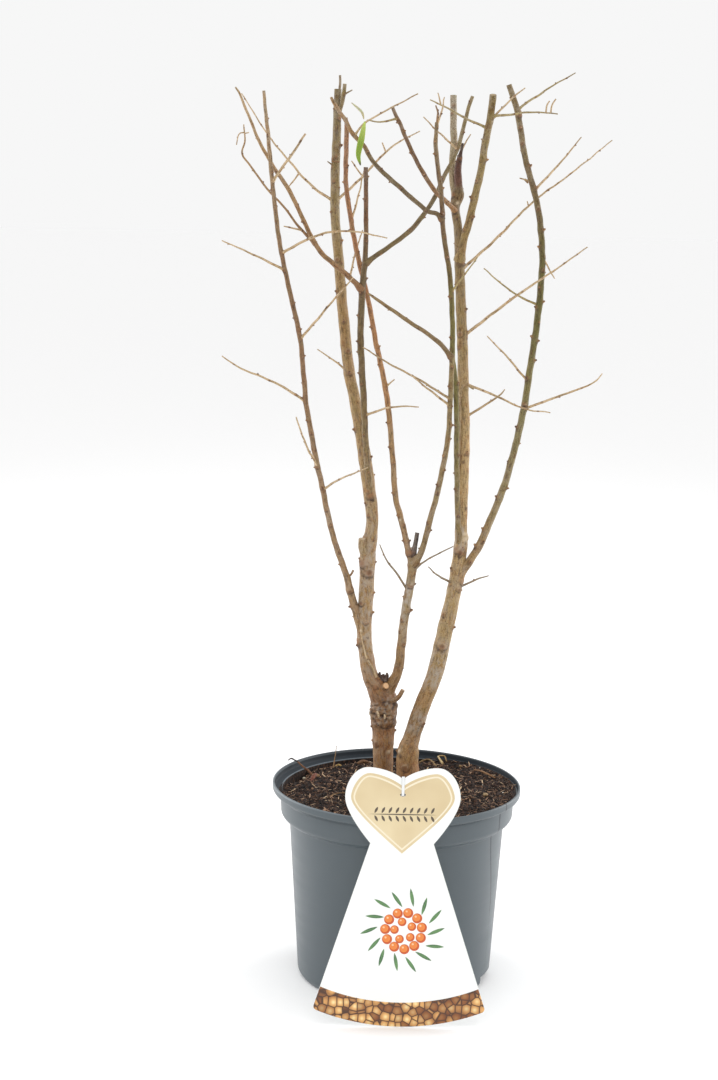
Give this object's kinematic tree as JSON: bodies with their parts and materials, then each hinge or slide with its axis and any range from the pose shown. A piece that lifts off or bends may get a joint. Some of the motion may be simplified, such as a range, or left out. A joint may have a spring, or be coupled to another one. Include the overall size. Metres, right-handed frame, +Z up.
{
  "type": "potted bare shrub",
  "caption": "Leafless, pruned sea buckthorn shrub with thorny twigs in a round plastic nursery pot of soil, with a heart-topped plant label leaning on the rim.",
  "frame": {"origin": "middle of the pot's underside, on the surface that the pot stands on", "axes": "+Z up along the pot's axis, -Y towards the side with the plant label, +X to the right of a viewer who faces the label"},
  "size_m": [0.3376, 0.2433, 0.8051],
  "materials": {
    "pot_plastic": "satin blue-grey moulded plastic",
    "soil": "damp crumbly peat with fibres",
    "bark": "thin brown to olive bark with silvery film",
    "leaf_green": "soft matt leaf",
    "leaf_silver": "silvery scaled leaf",
    "label_card": "smooth printed card",
    "tie_plastic": "smooth white strap"
  },
  "bodies": {
    "root": {"nursery_pot": "pot_plastic", "potting_soil": "soil", "left_stems": "bark", "right_stems": "bark", "green_leaf": "leaf_green", "silvery_leaf": "leaf_silver", "plant_label": "label_card", "label_tie": "tie_plastic"}
  },
  "joints": []
}
